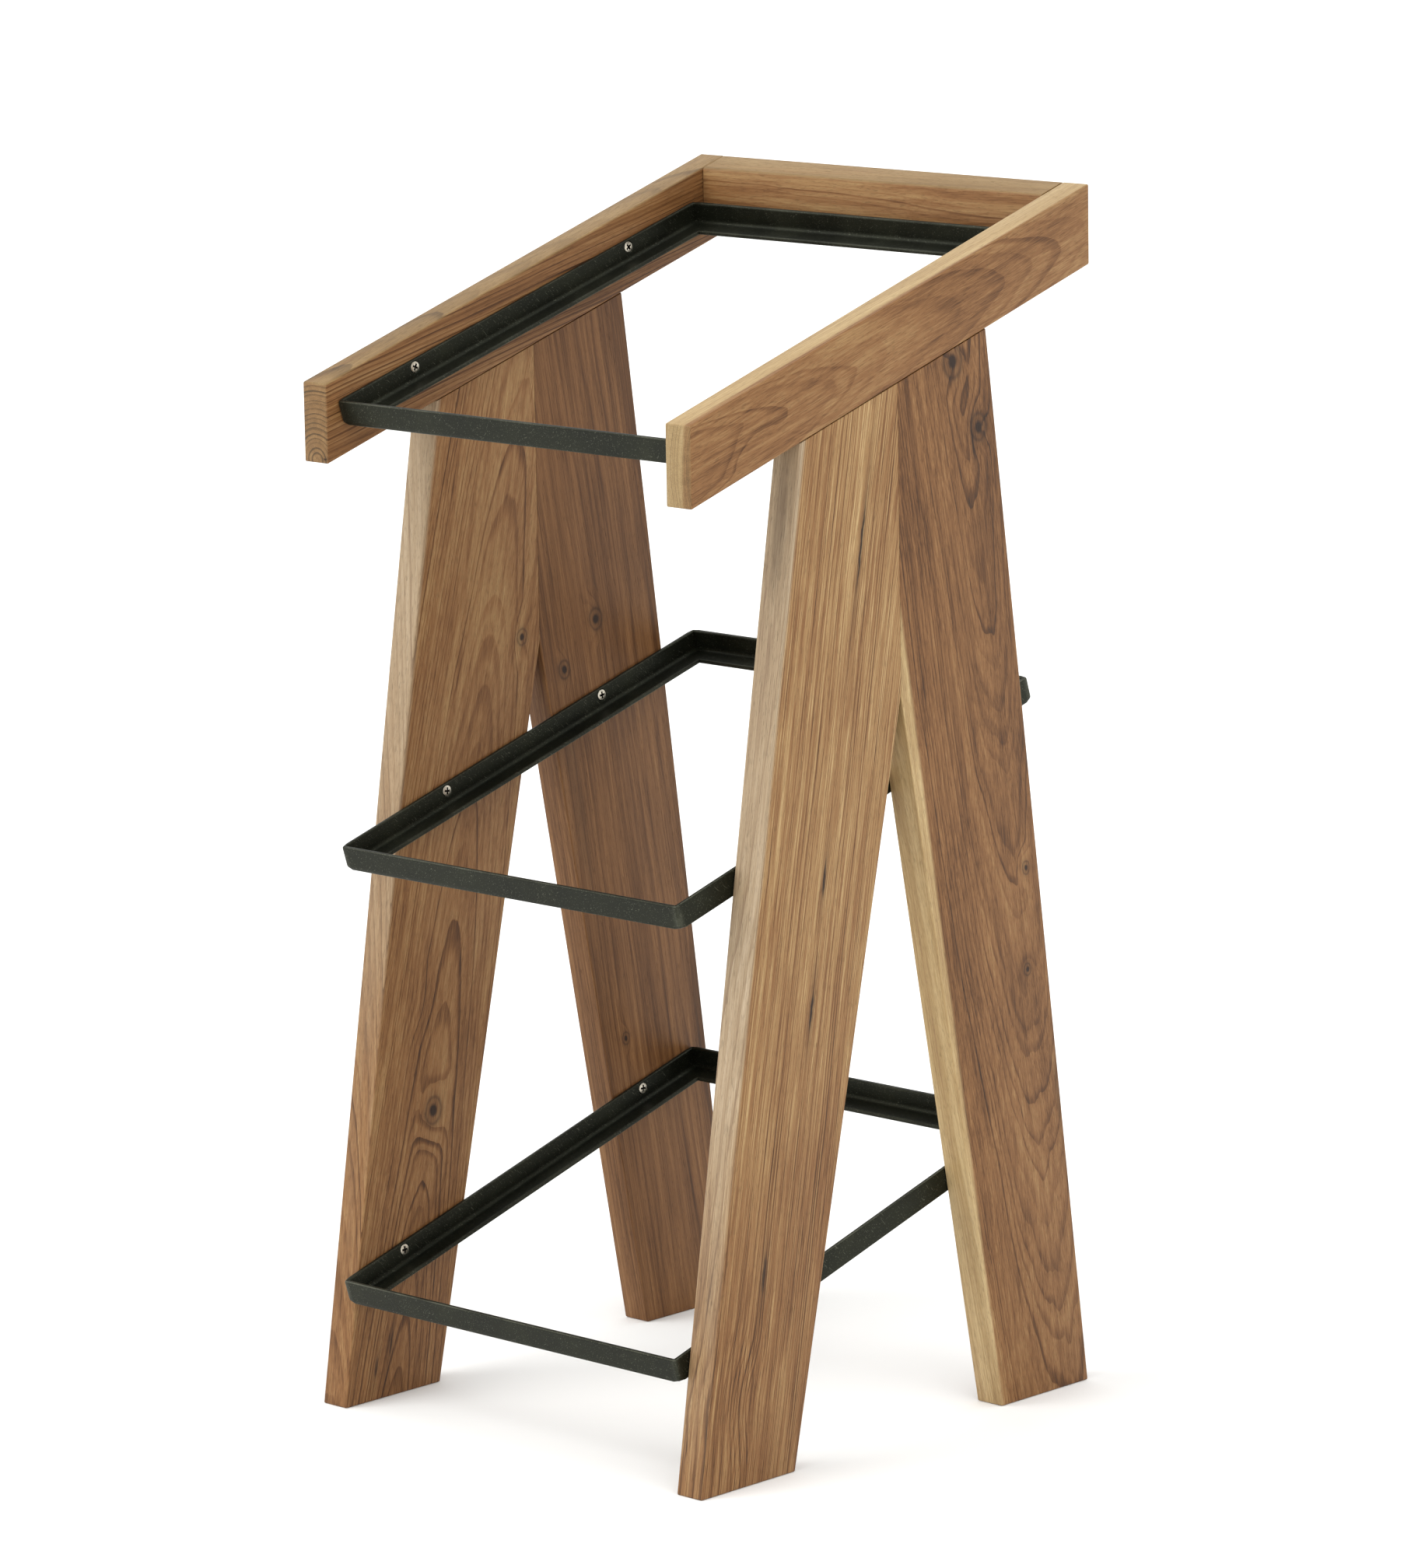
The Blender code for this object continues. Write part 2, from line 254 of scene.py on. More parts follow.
# %% [markdown]
# ## Studio
# A plain pale floor that runs to the horizon, an even white sky for the fill, and two wide soft
# suns: a stronger one from the front left and a weaker one from the right. Wide suns light the
# floor evenly all the way out, which area lights near the stand would not.

# %% Floor, sky and lights
FLOOR_HALF = 60.0
floor_mesh = bpy.data.meshes.new("floor")
floor_mesh.from_pydata(
    [(x * FLOOR_HALF, y * FLOOR_HALF, -0.2 * MM) for x, y in ((-1, -1), (1, -1), (1, 1), (-1, 1))],
    [],
    [(0, 1, 2, 3)],
)
floor = bpy.data.objects.new("floor", floor_mesh)
bpy.context.scene.collection.objects.link(floor)
paper, _, shader = new_material("matt_white_paper")
shader.inputs["Base Color"].default_value = colour("#f6f6f4")
shader.inputs["Roughness"].default_value = 1.0
shader.inputs["Specular IOR Level"].default_value = 0.0
floor_mesh.materials.append(paper)

sky = bpy.data.worlds.new("white_studio")
sky.use_nodes = True
sky.node_tree.nodes["Background"].inputs["Color"].default_value = colour("#ffffff")
sky.node_tree.nodes["Background"].inputs["Strength"].default_value = 1.10
bpy.context.scene.world = sky
bpy.context.scene.view_settings.view_transform = "Standard"

# name: (azimuth from the front, towards the right; height; strength; width), in degrees
SUNS = {
    "key_front_left": (-22, 43, 1.40, 42),
    "fill_right": (78, 38, 0.66, 60),
}
for name, (azimuth, height, strength, width) in SUNS.items():
    light = bpy.data.lights.new(name, "SUN")
    light.energy = strength
    light.angle = math.radians(width)
    lamp = bpy.data.objects.new(name, light)
    bpy.context.scene.collection.objects.link(lamp)
    a, e = math.radians(azimuth), math.radians(height)
    towards = Vector((math.sin(a) * math.cos(e), -math.cos(a) * math.cos(e), math.sin(e)))
    lamp.rotation_mode = "QUATERNION"
    lamp.rotation_quaternion = towards.to_track_quat("Z", "Y")
print("lights:", list(SUNS))

# %% [markdown]
# ## Walnut
# Every board is oiled black walnut: brown heartwood, thin dark ring lines, short dark pores
# along the grain, and here and there pale sapwood, a knot or a bark streak. A tree's rings are
# nested tubes about its pith, and a board is a slice through them. So the material is a solid
# one: it measures each point's distance from a pith line laid beside the board, bends that
# distance with noise, and colours it ring by ring. Flat faces then show arches, edges show
# straight lines and ends show arcs, all joined up across the corners, as in real timber.

# %% Walnut colours and grain sizes
HEARTWOOD = (
    (0.00, "#2b1b0e"),
    (0.25, "#583719"),
    (0.50, "#7f5833"),
    (0.75, "#98774d"),
    (1.00, "#b89b6e"),
)
CREAM_SAP = ((0.00, "#86684a"), (0.45, "#a58a5f"), (1.00, "#cfb88c"))
GREY_SAP = ((0.00, "#7d6650"), (0.45, "#9a8569"), (1.00, "#bba88f"))
TOP_TAN = ((0.00, "#5c4628"), (0.45, "#80653e"), (1.00, "#a3885c"))
END_GRAIN = "#7c6846"
BARK = "#241408"
PORE_LONG = 7 * MM
PORE_WIDE = 0.6 * MM  # real pores are 0.2 to 0.3 mm wide, too fine to show, so they are drawn wider
HAIR_LONG = 70 * MM
HAIR_WIDE = 0.8 * MM
STREAK_LONG = 320 * MM
STREAK_WIDE = 5 * MM
PATCH_LONG = 150 * MM
PATCH_WIDE = 40 * MM
# how far each kind of mark lightens or darkens the wood, on the heartwood ramp's 0 to 1
BAND_SHARE = 0.42
STREAK_SHARE = 0.50
PATCH_SHARE = 0.35
HAIR_SHARE = 0.60
LINE_DEPTH = 0.30
PORE_DEPTH = 0.30
SAP_WAVE = 3 * MM  # how far the edge of the sapwood wanders
END_SHARE = 0.4
END_LINE_DEPTH = 0.9
OILED_ROUGHNESS, PORE_ROUGHNESS = 0.48, 0.62
RELIEF = 0.12 * MM


def bend(tree, vector, long, wide, reach):
    """The vector moved across the grain by slow noise, by up to about half that reach."""
    wave = noise_of(tree, stretched(tree, vector, long, wide))["Color"]
    moved = vector_maths(tree, "MULTIPLY_ADD", wave, (0, reach, reach), vector)
    return vector_maths(tree, "ADD", moved, (0, -reach / 2, -reach / 2))


def away_from(tree, vector, place, long, wide):
    """0 at the place and 1 at an oval round it, which goes deeper than it is wide."""
    off = vector_maths(tree, "SUBTRACT", vector, place)
    flat = vector_maths(tree, "MULTIPLY", off, (1 / long, 1 / wide, 0.35 / wide))
    return vector_maths(tree, "LENGTH", flat, output="Value")


def past(tree, here, place, direction, start, end, top=1.0):
    """0 to top over a run along a direction, from start to end beyond the place."""
    way = Vector(direction).normalized()
    level = way.dot(Vector(place))
    reach = vector_maths(tree, "DOT_PRODUCT", here, way, output="Value")
    return fade(tree, reach, level + start, level + end, 0, top)


print("walnut helpers ready")


# %% Rings, knots and cracks
def rings_of(tree, radius, gap):
    """(place within its ring, broad random band, thin dark line) at a distance from the pith."""
    count = multiply(tree, radius, 1 / gap)
    band = result(
        tree,
        "ShaderNodeTexNoise",
        {"noise_dimensions": "1D"},
        {"W": multiply(tree, count, 0.3), "Scale": 1.0, "Detail": 3.0, "Roughness": 0.6},
    )
    uneven = sum_of(tree, count, band, 2.2)
    part = maths(tree, "FRACT", uneven)
    year = maths(tree, "FLOOR", uneven)
    one_way = {"noise_dimensions": "1D"}
    chance = result(tree, "ShaderNodeTexWhiteNoise", one_way, {"W": year}, "Value")
    line = fade(tree, part, 0.50, 0.96, 0, 1, "SMOOTHERSTEP")
    line = multiply(tree, line, fade(tree, part, 0.96, 1.0, 1, 0, "LINEAR"))
    return part, band, multiply(tree, line, fade(tree, chance, 0.1, 1.0, 0.3, 1.0))


def knot_mark(tree, away):
    """A dark heart in a ring of bark, with a soft brown stain round both."""
    heart = multiply(tree, fade(tree, away, 0.45, 1.0), 0.7)
    bark = multiply(tree, fade(tree, away, 1.5, 2.1), fade(tree, away, 1.2, 1.7, 0.0, 0.45))
    stain = sum_of(tree, bark, fade(tree, away, 0.8, 3.2), 0.28)
    return sum_of(tree, heart, stain)


def crack_mark(tree, away):
    """A dark split with a stain on both sides."""
    split = multiply(tree, fade(tree, away, 0.25, 0.75), 0.75)
    return sum_of(tree, split, fade(tree, away, 0.5, 2.2), 0.22)


print("ring, knot and crack helpers ready")


# %% The walnut material
def walnut(
    name,
    pith,
    along,
    tone=0.5,
    foot=0.0,
    gap=3.0,
    lines=1.0,
    bands=1.0,
    hairs=1.0,
    wander=2.5,
    knots=(),
    cracks=(),
    sap=None,
    end=None,
):
    """pith is a point in metres and along the grain's direction. tone lightens the board and foot
    its lower end. gap is the rings' spacing and wander their bending, in mm, and lines and bands
    deepen their thin and broad marks, as hairs does the finest. A knot is (place, core, reach,
    lift), and only bends the rings if it has no core. A crack is (place, half length, half width,
    depth), and sap a pale side: (place, direction into it, softness, colours). end is (place,
    direction out of it) for an end that shows, greyer because end grain drinks more oil."""
    made, tree, shader = new_material(name)
    grain = Vector(along).normalized()
    side = Vector((1, 0, 0)) if abs(grain.x) < 0.5 else Vector((0, 0, 1))
    across = side.cross(grain).normalized()
    turn = Matrix((grain, across, grain.cross(across))).transposed()
    here = object_point(tree)
    lie = result(
        tree,
        "ShaderNodeMapping",
        {"vector_type": "TEXTURE"},
        {"Vector": here, "Location": pith, "Rotation": turn.to_euler()},
    )

    ragged = bend(tree, lie, 14 * MM, 5 * MM, 2.4 * MM)
    ragged = bend(tree, ragged, 5 * MM, 1.5 * MM, 1.0 * MM)
    bent = bend(tree, lie, 420 * MM, 90 * MM, wander * 4 * MM)
    bent = bend(tree, bent, 70 * MM, 14 * MM, wander * 0.6 * MM)
    radius = vector_maths(tree, "MULTIPLY", bent, (0, 1, 1))
    radius = vector_maths(tree, "LENGTH", radius, output="Value")

    def away(place, long, wide):
        local = turn.transposed() @ (Vector(place) - Vector(pith))
        return away_from(tree, ragged, local, long, wide)

    marks = 0.0
    for place, core, reach, lift in knots:
        radius = sum_of(tree, radius, fade(tree, away(place, reach * 1.8, reach), 0, 1), lift)
        if core:
            marks = sum_of(tree, marks, knot_mark(tree, away(place, core * 1.3, core)))
    for place, long, wide, depth in cracks:
        marks = sum_of(tree, marks, crack_mark(tree, away(place, long, wide)), depth)
    part, band, line = rings_of(tree, radius, gap * MM)

    streak = noise_of(tree, stretched(tree, bent, STREAK_LONG, STREAK_WIDE), 3, 0.55)[0]
    patch = noise_of(tree, stretched(tree, bent, PATCH_LONG, PATCH_WIDE), 2)[0]
    hair = noise_of(tree, stretched(tree, bent, HAIR_LONG, HAIR_WIDE), 2, 0.6)[0]
    shares = (
        (band, BAND_SHARE * bands),
        (streak, STREAK_SHARE),
        (patch, PATCH_SHARE),
        (hair, HAIR_SHARE * hairs),
    )
    shade = tone - 0.5 * sum(share for _, share in shares)
    for value, share in shares:
        shade = sum_of(tree, shade, value, share)
    shade = sum_of(tree, shade, line, -LINE_DEPTH * lines)
    if foot:
        up = result(tree, "ShaderNodeSeparateXYZ", inputs={0: here}, output=2)
        shade = sum_of(tree, shade, fade(tree, up, 0.10, 0.42), foot)
    wood = ramp_of(tree, shade, HEARTWOOD)

    if sap:
        place, direction, soft, pale_colours = sap
        wave = noise_of(tree, stretched(tree, lie, 160 * MM, 12 * MM), 3)["Color"]
        edge = vector_maths(tree, "MULTIPLY_ADD", wave, (SAP_WAVE,) * 3, here)
        middle = Vector(place) + Vector((SAP_WAVE / 2,) * 3)
        pale = ramp_of(tree, sum_of(tree, shade, 0.5 - tone), pale_colours)
        wood = mixed(tree, past(tree, edge, middle, direction, -soft, soft), wood, pale)
    end_share = 0.0
    if end:
        end_share = past(tree, here, *end, -1.0 * MM, -0.1 * MM, END_SHARE)
        wood = mixed(tree, end_share, wood, colour(END_GRAIN))

    dash = noise_of(tree, stretched(tree, bent, PORE_LONG, PORE_WIDE), 1)[0]
    pores = fade(tree, dash, 0.55, 0.68, 0, 1)
    pores = multiply(tree, pores, fade(tree, part, 0.0, 1.0, 1.0, 0.5, "LINEAR"))
    veil = sum_of(tree, 1.0, pores, -PORE_DEPTH)
    veil = sum_of(tree, veil, multiply(tree, end_share, line), -END_LINE_DEPTH)
    wood = mixed(tree, 1.0, wood, veil, "MULTIPLY")
    wood = mixed(tree, clamped(tree, marks), wood, colour(BARK))
    tree.links.new(wood, shader.inputs["Base Color"])
    rough = fade(tree, pores, 0, 1, OILED_ROUGHNESS, PORE_ROUGHNESS, "LINEAR")
    tree.links.new(rough, shader.inputs["Roughness"])
    height = sum_of(tree, multiply(tree, line, 0.25), pores, -1.0)
    roughen(tree, shader, 0.35, RELIEF, height)
    shader.inputs["Specular IOR Level"].default_value = 0.26
    return made


print("walnut function ready")

# %% [markdown]
# ## Meshes and holes
# The boards are cut in mesh code: an outline in the Y-Z plane, pushed through the board's
# thickness, with its touched edges eased by a rounded bevel. Joint faces stay sharp, as a maker
# leaves them. Dowel and screw holes are cut by one joined cutter per board, which keeps the
# Boolean short. A last helper merges doubles, turns faces outwards and splits hard edges.


# %% Mesh helpers
def new_object(name, bm):
    mesh = bpy.data.meshes.new(name)
    bm.to_mesh(mesh)
    bm.free()
    made = bpy.data.objects.new(name, mesh)
    bpy.context.scene.collection.objects.link(made)
    return made


def lofted(outlines):
    """A closed solid through outlines of points, lowest first, with flat ends."""
    bm = bmesh.new()
    loops = [[bm.verts.new(place) for place in outline] for outline in outlines]
    bm.faces.new(list(reversed(loops[0])))
    bm.faces.new(loops[-1])
    count = len(loops[0])
    for low, high in zip(loops, loops[1:]):
        for i in range(count):
            j = (i + 1) % count
            bm.faces.new((low[i], low[j], high[j], high[i]))
    return bm


def turned(rings, sides=32):
    """A closed solid of revolution about Z from (radius, height) rings, lowest first."""
    spokes = [2 * math.pi * i / sides for i in range(sides)]
    return lofted([[(r * math.cos(a), r * math.sin(a), z) for a in spokes] for r, z in rings])


def put(bm, place, direction):
    """Turns +Z to a direction and moves the origin to a place."""
    turn = Vector((0, 0, 1)).rotation_difference(Vector(direction)).to_matrix().to_4x4()
    bmesh.ops.transform(bm, matrix=Matrix.Translation(place) @ turn, verts=bm.verts)
    return bm


def joined(parts):
    whole = bmesh.new()
    for part in parts:
        mesh = bpy.data.meshes.new("part")
        part.to_mesh(mesh)
        part.free()
        whole.from_mesh(mesh)
        bpy.data.meshes.remove(mesh)
    return whole


def applied(obj):
    """obj with its modifiers made into its mesh."""
    graph = bpy.context.evaluated_depsgraph_get()
    mesh = bpy.data.meshes.new_from_object(obj.evaluated_get(graph), depsgraph=graph)
    obj.modifiers.clear()
    old = obj.data
    obj.data = mesh
    bpy.data.meshes.remove(old)
    mesh.name = obj.name
    return obj


def drilled(obj, cutters):
    """Cuts the closed cutters, which don't touch each other, out of obj."""
    tool = new_object(obj.name + "_cutter", joined(cutters))
    step = obj.modifiers.new("holes", "BOOLEAN")
    step.operation = "DIFFERENCE"
    step.solver = "EXACT"
    step.object = tool
    applied(obj)
    bpy.data.objects.remove(tool, do_unlink=True)
    return obj


def finished(obj, hard=28):
    """Merges doubles, points faces outwards, and shades smooth up to that angle in degrees."""
    bm = bmesh.new()
    bm.from_mesh(obj.data)
    bmesh.ops.remove_doubles(bm, verts=bm.verts, dist=0.002 * MM)
    bmesh.ops.dissolve_degenerate(bm, edges=bm.edges, dist=0.002 * MM)
    bmesh.ops.recalc_face_normals(bm, faces=bm.faces)
    limit = math.radians(hard)
    for face in bm.faces:
        face.smooth = True
        face.material_index = 0
    for edge in bm.edges:
        edge.smooth = len(edge.link_faces) == 2 and edge.calc_face_angle(0) < limit
    bm.to_mesh(obj.data)
    bm.free()
    own = [m for m in obj.data.materials if m]  # a cutter leaves an empty slot behind
    obj.data.materials.clear()
    for made in own[:1]:
        obj.data.materials.append(made)
    return obj


print("mesh helpers ready")

# %% [markdown]
# ## Dowel and screw positions
# The dowels are hidden 8 mm beech pins: two through each mitre, two from each leg into its rail
# and two from each side rail into the back rail. Their CAD nodes are right as they are, so they
# stay, and only the holes round them are made again in the new boards.

# %% Holes
DOWEL_HOLE_R = 4.15 * MM
SHANK_HOLE_R = 2.05 * MM
SINK_R = 4.9 * MM
MITRE_HOLE = 52 * MM
LEG_TOP_HOLE = 52 * MM
BACK_RAIL_HOLE = 38 * MM
PIN_SHIFT = 4 * MM  # a back rail pin's middle sits that far inside the side rail's face
# how far up the mitre, along a leg's top and up the back rail each pair of pins sits
MITRE_SHARES = (0.25, 0.72)
LEG_TOP_SHARES = (0.26, 0.74)
BACK_RAIL_SHARES = (0.27, 0.73)
SCREW_HEIGHT = 13.2 * MM  # up the angle's upright leg
holes = {}


def add_hole(piece, middle, direction, length):
    half = length / 2
    rings = [(DOWEL_HOLE_R, -half), (DOWEL_HOLE_R, half)]
    holes.setdefault(piece, []).append((rings, Vector(middle), Vector(direction)))


def frame_point(base, x, along, up):
    y, z = base
    run, rise = math.cos(FRAME_TILT), math.sin(FRAME_TILT)
    return Vector((x, y + along * run - up * rise, z + along * rise + up * run))


rail_normal = (0, -math.sin(RAIL_TILT), math.cos(RAIL_TILT))
for side, sign in (("left", -1), ("right", 1)):
    x = sign * (HALF_WIDTH - BOARD / 2)
    for share in MITRE_SHARES:
        z = CROTCH_Z + share * (leg_top(MITRE_Y) - CROTCH_Z)
        for leg in ("front", "back"):
            add_hole(f"{side}_{leg}_leg", (x, MITRE_Y, z), (0, 1, 0), MITRE_HOLE)
    for leg, start, end in (("front", FRONT_TOP_Y, MITRE_Y), ("back", MITRE_Y, BACK_TOP_Y)):
        for share in LEG_TOP_SHARES:
            y = start + share * (end - start)
            place = (x, y, (leg_top(y) + rail_under(y)) / 2)
            for piece in (f"{side}_{leg}_leg", f"{side}_side_rail"):
                add_hole(piece, place, rail_normal, LEG_TOP_HOLE)
    floor_z = rail_under(RAIL_BACK_Y)
    for share in BACK_RAIL_SHARES:
        z = floor_z + share * (rail_top(BACK_RAIL_Y) - floor_z)
        place = (sign * (INNER_X - PIN_SHIFT), RAIL_BACK_Y - BOARD / 2, z)
        for piece in (f"{side}_side_rail", "back_rail"):
            add_hole(piece, place, (1, 0, 0), BACK_RAIL_HOLE)

SCREW_HOLE = [
    (SHANK_HOLE_R, -20 * MM),
    (SHANK_HOLE_R, SHANK_HOLE_R - SINK_R),
    (SINK_R, 0),
    (SINK_R, 1 * MM),
]
screws = []
for name, base in FRAME_BASES.items():
    for side, sign in (("left", -1), ("right", 1)):
        for end, way in (("front", -1), ("back", 1)):
            along = FRAME_DEPTH / 2 + way * SCREW_OFFSETS[name]
            face = frame_point(base, sign * BAR_FACE_X, along, SCREW_HEIGHT)
            wood = f"{side}_side_rail" if name == "top_frame" else f"{side}_{end}_leg"
            inward = Vector((-sign, 0, 0))
            for piece in (wood, name):
                holes.setdefault(piece, []).append((SCREW_HOLE, face, inward))
            screws.append((f"{name}_{side}_{end}_screw", face, inward))
print({piece: len(found) for piece, found in holes.items()})

# %% [markdown]
# ## Boards
# Seven boards: four tapered legs, two side rails and the back rail. Each one gets its own cut
# from the log, so no two show the same figure. The flat-sawn ones have the pith close behind
# the face and tilted a little, which draws arches; the straight-grained ones have it far to
# one side, which draws lines.


# %% Board shapes
def board(name, outline, low, high, soft, corners, radius):
    """outline is (y, z) points. soft lists its sides and corners its points to be eased."""
    bm = bmesh.new()
    ends = [[bm.verts.new((x, y, z)) for y, z in outline] for x in (low, high)]
    count = len(outline)
    bm.faces.new(ends[0])
    bm.faces.new(list(reversed(ends[1])))
    for i in range(count):
        j = (i + 1) % count
        bm.faces.new((ends[0][i], ends[0][j], ends[1][j], ends[1][i]))
    eased = [bm.edges.get((end[i], end[(i + 1) % count])) for i in soft for end in ends]
    eased += [bm.edges.get((ends[0][i], ends[1][i])) for i in corners]
    bmesh.ops.bevel(bm, geom=eased, offset=radius, segments=5, profile=0.5, affect="EDGES")
    bmesh.ops.recalc_face_normals(bm, faces=bm.faces)
    made = new_object(name + "_board", bm)
    drilled(made, [put(turned(rings), place, way) for rings, place, way in holes[name]])
    finished(made)
    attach(made, BODY)
    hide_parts(name)
    return made


near, far = MITRE_Y - GAP / 2, MITRE_Y + GAP / 2
FRONT_LEG = [
    (FOOT_FRONT_Y, 0),
    (FOOT_FRONT_Y + FOOT_LENGTH, 0),
    (near, CROTCH_Z),
    (near, leg_top(near)),
    (FRONT_TOP_Y, leg_top(FRONT_TOP_Y)),
]
BACK_LEG = [
    (FOOT_BACK_Y - FOOT_LENGTH, 0),
    (FOOT_BACK_Y, 0),
    (BACK_TOP_Y, leg_top(BACK_TOP_Y)),
    (far, leg_top(far)),
    (far, CROTCH_Z),
]
SIDE_RAIL = [
    (RAIL_FRONT_Y, rail_under(RAIL_FRONT_Y)),
    (RAIL_BACK_Y, rail_under(RAIL_BACK_Y)),
    (RAIL_BACK_Y, rail_top(RAIL_BACK_Y)),
    (RAIL_FRONT_Y, rail_top(RAIL_FRONT_Y)),
]
BACK_RAIL = [
    (BACK_RAIL_Y, rail_under(RAIL_BACK_Y)),
    (RAIL_BACK_Y, rail_under(RAIL_BACK_Y)),
    (RAIL_BACK_Y, rail_top(RAIL_BACK_Y)),
    (BACK_RAIL_Y, rail_top(BACK_RAIL_Y)),
]
LEG_EDGE, RAIL_EDGE, BACK_RAIL_EDGE = 1.2 * MM, 1.4 * MM, 1.8 * MM
BUTT_GAP = 0.7 * MM  # wider than a real joint, so that its dark line shows
# a leg's floor, inner and outer sides are eased, but not its mitre or its cut under the rail
LEG_SIDES = (0, 1, 4)
LEG_POINTS = (0, 1)
boards = {}
for side, sign in (("left", -1), ("right", 1)):
    low, high = sorted((sign * INNER_X, sign * HALF_WIDTH))
    for part, outline in (("front_leg", FRONT_LEG), ("back_leg", BACK_LEG)):
        name = f"{side}_{part}"
        boards[name] = board(name, outline, low, high, LEG_SIDES, LEG_POINTS, LEG_EDGE)
    name = f"{side}_side_rail"
    boards[name] = board(name, SIDE_RAIL, low, high, range(4), range(4), RAIL_EDGE)
half = INNER_X - BUTT_GAP
boards["back_rail"] = board("back_rail", BACK_RAIL, -half, half, (), range(4), BACK_RAIL_EDGE)
print({name: len(obj.data.polygons) for name, obj in boards.items()})


# %% Each board's own wood
def in_plane(x, lean_degrees):
    """A grain direction leaning in the Y-Z plane, with a little drift along X."""
    lean = math.radians(lean_degrees)
    return (x, math.sin(lean), math.cos(lean))


LEFT, RIGHT = -INNER_X, HALF_WIDTH  # each A-frame's face towards the camera
SLANT = math.radians(4)  # the left rail is sawn a little across the grain
RAIL_END = ((0, RAIL_FRONT_Y, 0), (0, -1, 0))
WOOD = {
    "left_front_leg": {
        "pith": (-0.204, -0.146, 0.10),
        "along": in_plane(-0.055, 12),
        "tone": 0.57,
        "foot": -0.09,
        "gap": 2.6,
        "lines": 1.2,
        "bands": 0.7,
        "wander": 2.2,
        "knots": (
            ((LEFT, -0.1197, 0.2147), 0.0050, 0.026, 0.006),
            ((LEFT, -0.1300, 0.3000), 0, 0.022, 0.003),
            ((LEFT, -0.0135, 0.5677), 0.0030, 0.018, 0.004),
        ),
        "cracks": (
            ((LEFT, -0.1867, 0.0254), 0.016, 0.0030, 0.8),
            ((LEFT, -0.1700, 0.0420), 0.018, 0.0020, 0.9),
            ((-0.190, -0.2010, 0.1250), 0.004, 0.0016, 0.7),
        ),
        "sap": ((-0.19, -0.1637, 0.35), (0, -1, 0.168), 0.0026, GREY_SAP),
    },
    "left_back_leg": {
        "pith": (-0.40, 0.16, 0.5),
        "along": in_plane(0.0, -9.5),
        "tone": 0.39,
        "lines": 0.35,
        "bands": 0.5,
        "hairs": 0.8,
        "knots": (
            ((LEFT, 0.0666, 0.5713), 0.0040, 0.018, 0.005),
            ((LEFT, 0.0312, 0.5361), 0.0034, 0.013, 0.004),
            ((LEFT, 0.0914, 0.2341), 0.0024, 0.010, 0.003),
        ),
        "cracks": (((LEFT, 0.044, 0.43), 0.16, 0.010, 0.3),),
    },
    "right_front_leg": {
        "pith": (0.130, -0.42, 0.3),
        "along": in_plane(0.0, 10),
        "tone": 0.69,
        "foot": -0.15,
        "gap": 2.2,
        "lines": 1.2,
        "hairs": 1.9,
        "knots": (((RIGHT, -0.1804, 0.0653), 0, 0.036, 0.009),),
        "cracks": (
            ((RIGHT, -0.0358, 0.6767), 0.060, 0.0022, 1.0),
            ((RIGHT, -0.0796, 0.4384), 0.026, 0.0024, 1.0),
            ((RIGHT, -0.0954, 0.3422), 0.026, 0.0028, 1.0),
            ((RIGHT, -0.1494, 0.1560), 0.026, 0.0034, 0.9),
            ((RIGHT, -0.2104, 0.1829), 0.012, 0.0040, 0.7),
            # partly painted shadow: this broad dark streak down the top of the front face is a dark
            # figure and also paints the shade under the rail's overhang
            ((0.1875, -0.1080, 0.7000), 0.100, 0.0040, 0.35),
        ),
        "sap": ((0.19, -0.1868, 0.20), (0, -1, 0.168), 0.0022, GREY_SAP),
    },
    "right_back_leg": {
        "pith": (0.246, 0.088, 0.69),
        "along": in_plane(-0.07, -8),
        "tone": 0.40,
        "foot": 0.09,
        "gap": 2.6,
        "lines": 0.9,
        "wander": 4.0,
        "knots": (
            ((RIGHT, 0.0652, 0.8007), 0.0058, 0.022, 0.007),
            ((RIGHT, 0.0929, 0.7496), 0.0048, 0.018, 0.006),
            ((RIGHT, 0.1418, 0.4110), 0.0024, 0.014, 0.004),
            ((RIGHT, 0.1426, 0.3330), 0.0022, 0.012, 0.003),
        ),
        "cracks": (
            ((RIGHT, 0.1760, 0.2300), 0.05, 0.005, 0.4),
            ((RIGHT, 0.0870, 0.7360), 0.018, 0.0020, 0.7),
        ),
        "sap": ((RIGHT, 0.0600, 0.3), (0.0, -0.985, -0.165), 0.0022, CREAM_SAP),
    },
    "left_side_rail": {
        "pith": (-0.186, -0.2115, 0.727),
        "along": (0.01, math.cos(RAIL_TILT - SLANT), math.sin(RAIL_TILT - SLANT)),
        "tone": 0.49,
        "gap": 3.4,
        "lines": 1.3,
        "bands": 1.35,
        "wander": 2.4,
        "cracks": (((-0.1775, -0.2115, 0.7275), 0.004, 0.0012, 0.9),),
        "sap": ((-0.19, RAIL_FRONT_Y, RAIL_FRONT_Z - 0.0008), rail_normal, 0.0007, TOP_TAN),
        "end": RAIL_END,
    },
    "right_side_rail": {
        "pith": (0.290, -0.20, 0.756),
        "along": (0.05, math.cos(RAIL_TILT), math.sin(RAIL_TILT)),
        "tone": 0.53,
        "gap": 2.2,
        "lines": 0.65,
        "bands": 0.55,
        "wander": 1.8,
        "knots": (((RIGHT, -0.1482, 0.7623), 0, 0.024, 0.002),),
        "sap": ((0.1925, -0.2115, 0.76), (-1, 0, 0.04), 0.0022, CREAM_SAP),
        "end": RAIL_END,
    },
    "back_rail": {
        "pith": (-0.06, 0.262, 0.84),
        "along": (1, 0.035, 0.02),
        "tone": 0.55,
        "gap": 3.6,
        "lines": 0.8,
        "hairs": 0.7,
        "wander": 4.0,
        "sap": ((0, BACK_RAIL_Y, rail_top(BACK_RAIL_Y) - 0.0008), rail_normal, 0.0007, TOP_TAN),
    },
}
